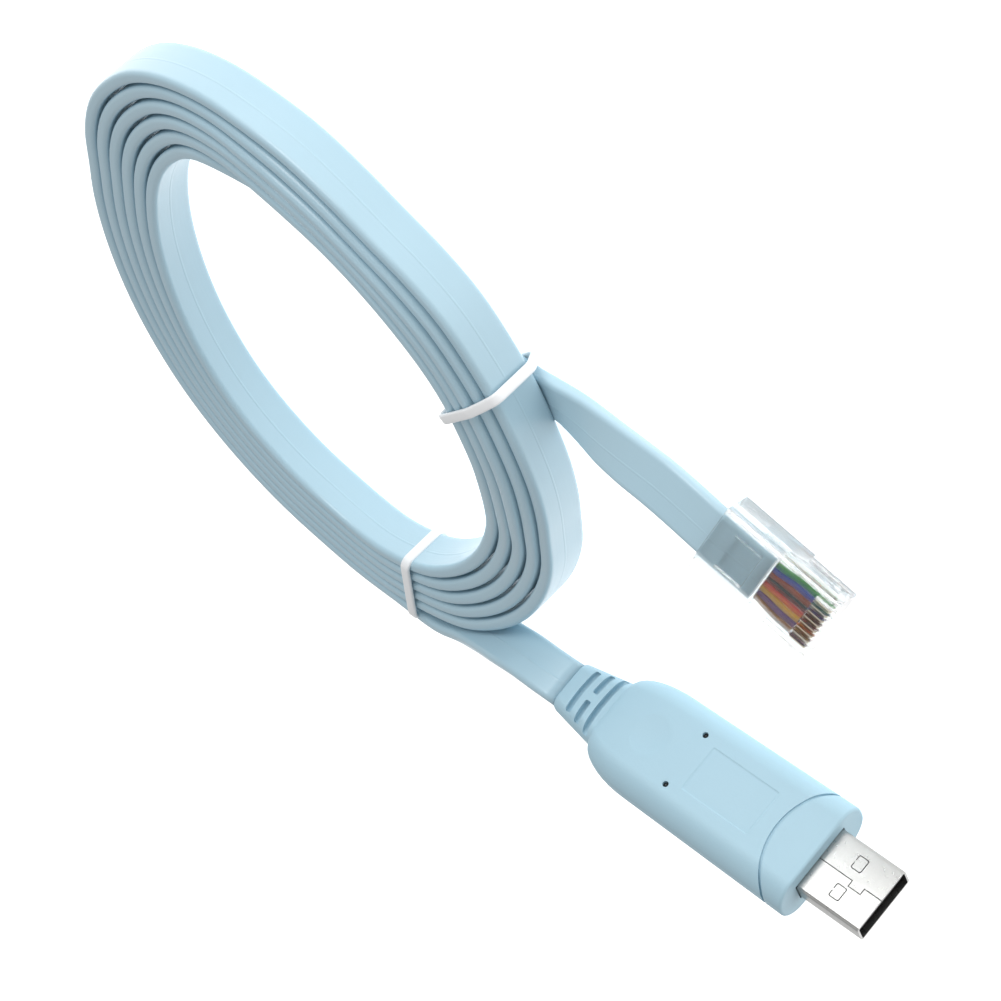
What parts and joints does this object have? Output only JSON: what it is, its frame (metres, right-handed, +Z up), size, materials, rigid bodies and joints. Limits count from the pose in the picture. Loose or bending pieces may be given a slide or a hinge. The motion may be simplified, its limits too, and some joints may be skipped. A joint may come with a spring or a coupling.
{
  "type": "usb to rj45 console cable",
  "caption": "Flat console cable wound on edge into an oval hank with two ties, with a moulded USB-A plug on one end and a clear modular plug on the other",
  "frame": {"origin": "on the floor plane, under the middle of the USB plug with its housing, strain relief and shell", "axes": "X runs along the USB plug with its mouth towards -X, Z is up from the floor the cable lies on, and Y completes the right-handed frame, with the hank on the +X, -Y side"},
  "size_m": [0.1664, 0.1189, 0.0204],
  "materials": {
    "cable_vinyl": "satin extruded vinyl",
    "housing_vinyl": "fine matt moulded vinyl",
    "shell_nickel": "bright nickel-plated steel",
    "tongue_plastic": "satin",
    "contact_gold": "gold plated",
    "clear_plastic": "clear moulded plastic",
    "tie_plastic": "satin",
    "wire_green": "satin wire insulation",
    "wire_blue": "satin wire insulation",
    "wire_brown": "satin wire insulation",
    "wire_black": "satin wire insulation",
    "wire_red": "satin wire insulation",
    "wire_yellow": "satin wire insulation",
    "wire_purple": "satin wire insulation",
    "wire_tan": "satin wire insulation"
  },
  "bodies": {
    "root": {"usb_housing": "housing_vinyl", "usb_shell": "shell_nickel", "usb_tongue": "tongue_plastic", "usb_contact_1": "contact_gold", "usb_contact_2": "contact_gold", "usb_contact_3": "contact_gold", "usb_contact_4": "contact_gold", "rj45_body": "clear_plastic", "rj45_contact_1": "contact_gold", "rj45_wire_1": "wire_green", "rj45_contact_2": "contact_gold", "rj45_wire_2": "wire_blue", "rj45_contact_3": "contact_gold", "rj45_wire_3": "wire_brown", "rj45_contact_4": "contact_gold", "rj45_wire_4": "wire_black", "rj45_contact_5": "contact_gold", "rj45_wire_5": "wire_red", "rj45_contact_6": "contact_gold", "rj45_wire_6": "wire_yellow", "rj45_contact_7": "contact_gold", "rj45_wire_7": "wire_purple", "rj45_contact_8": "contact_gold", "rj45_wire_8": "wire_tan", "cable_coil": "cable_vinyl", "cable_lead_usb": "cable_vinyl", "cable_lead_rj45": "cable_vinyl", "tie_1": "tie_plastic", "tie_2": "tie_plastic"}
  },
  "joints": []
}
